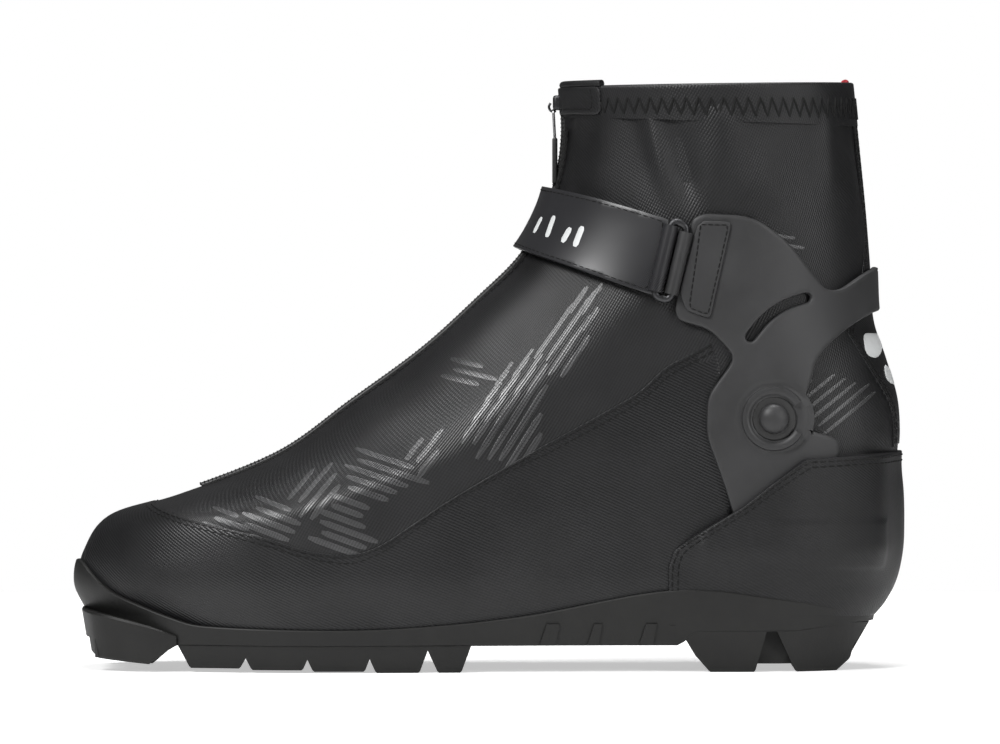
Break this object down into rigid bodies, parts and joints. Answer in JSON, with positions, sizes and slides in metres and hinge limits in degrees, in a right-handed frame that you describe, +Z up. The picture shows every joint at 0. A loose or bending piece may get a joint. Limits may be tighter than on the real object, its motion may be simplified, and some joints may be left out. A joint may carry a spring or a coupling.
{
  "type": "cross country ski boot",
  "caption": "Left ski boot with a hinged ankle cuff, a zipped cover, a peel-open ankle strap and a toe bar under a grooved rubber sole.",
  "frame": {"origin": "on the floor under the middle of the boot's bounding box", "axes": "+X towards the heel, -X towards the toe, -Y towards the outer side of the foot, +Z up"},
  "size_m": [0.3002, 0.0932, 0.2135],
  "materials": {
    "sole_rubber": "moulded black rubber, fine matt texture",
    "toe_bar_steel": "bright steel",
    "hard_black": "moulded black plastic",
    "felt_board": "grey felt",
    "coated_twill": "black twill with a thin coating",
    "softshell": "black softshell twill with printed hatching",
    "zip_tape": "black zip tape with piping",
    "lining_fabric": "black padded lining mesh",
    "cuff_plastic": "dark grey moulded plastic, fine grain",
    "dark_metal": "dark coated metal",
    "strap_fabric": "smooth coated strap, slightly glossy",
    "red_fabric": "red woven tab"
  },
  "bodies": {
    "foot": {"sole_chassis": "sole_rubber", "toe_bumper": "sole_rubber", "outsole_forefoot": "sole_rubber", "outsole_heel": "sole_rubber", "toe_bar": "toe_bar_steel", "toe_bar_insert": "hard_black", "shank_plate": "hard_black", "lasting_board": "felt_board", "footbed": "felt_board", "toe_side_panel": "coated_twill", "toe_puff": "hard_black", "vamp_cover_lateral": "softshell", "vamp_cover_medial": "softshell", "zip_lower": "zip_tape", "instep_flex_panel": "softshell", "heel_quarter_lateral": "coated_twill", "heel_quarter_medial": "coated_twill", "back_strip_lower": "coated_twill", "achilles_flex_panel": "softshell", "heel_stiffener": "hard_black", "heel_counter_overlay": "coated_twill", "liner_bootie": "lining_fabric", "tongue": "lining_fabric", "pivot_stud_lateral": "dark_metal", "pivot_stud_medial": "dark_metal", "pivot_washer_lateral": "cuff_plastic", "pivot_washer_medial": "cuff_plastic"},
    "cuff": {"cuff_exoskeleton": "cuff_plastic", "shaft_cover_lateral": "softshell", "shaft_cover_medial": "softshell", "back_strip_upper": "coated_twill", "collar_binding": "softshell", "zip_upper": "zip_tape", "zip_top_tab": "softshell", "heel_pull_tab": "red_fabric", "ring_keeper_tab": "strap_fabric", "strap_base": "strap_fabric", "strap_loop_patch": "felt_board", "strap_anchor_rivet": "toe_bar_steel"},
    "slider": {"zip_slider": "dark_metal"},
    "pull": {"zip_pull_wire": "toe_bar_steel", "zip_pull_tail": "strap_fabric"},
    "ring": {"strap_ring": "dark_metal"},
    "flap": {"strap_flap": "strap_fabric", "strap_hook_patch": "strap_fabric"}
  },
  "joints": [
    {"name": "cuff_pivot", "type": "hinge", "parent": "foot", "child": "cuff", "pos_m": [0.1013, 0, 0.0908], "axis": [0, -1, 0], "range_deg": [-5, 12], "stiffness_Nm_per_rad": 6, "deforming": ["instep_flex_panel", "achilles_flex_panel", "liner_bootie", "tongue"]},
    {"name": "zip_slide", "type": "slide", "parent": "cuff", "child": "slider", "axis": [-0.06, 0, -0.9982], "range_m": [0, 0.022]},
    {"name": "zip_pull_swing", "type": "hinge", "parent": "slider", "child": "pull", "pos_m": [0.02346, 0, 0.2004], "axis": [0, 1, 0], "range_deg": [0, 90]},
    {"name": "ring_swing", "type": "hinge", "parent": "cuff", "child": "ring", "pos_m": [0.0672, -0.04247, 0.1462], "axis": [0.2316, 0, 0.9728], "range_deg": [0, 15]},
    {"name": "strap_peel", "type": "hinge", "parent": "ring", "child": "flap", "pos_m": [0.0617, -0.04247, 0.148], "axis": [0.2316, 0, 0.9728], "range_deg": [0, 100]}
  ],
  "couplings": [
    {"joint": "zip_pull_swing", "follows": "zip_slide", "rad_per_m": 71}
  ]
}
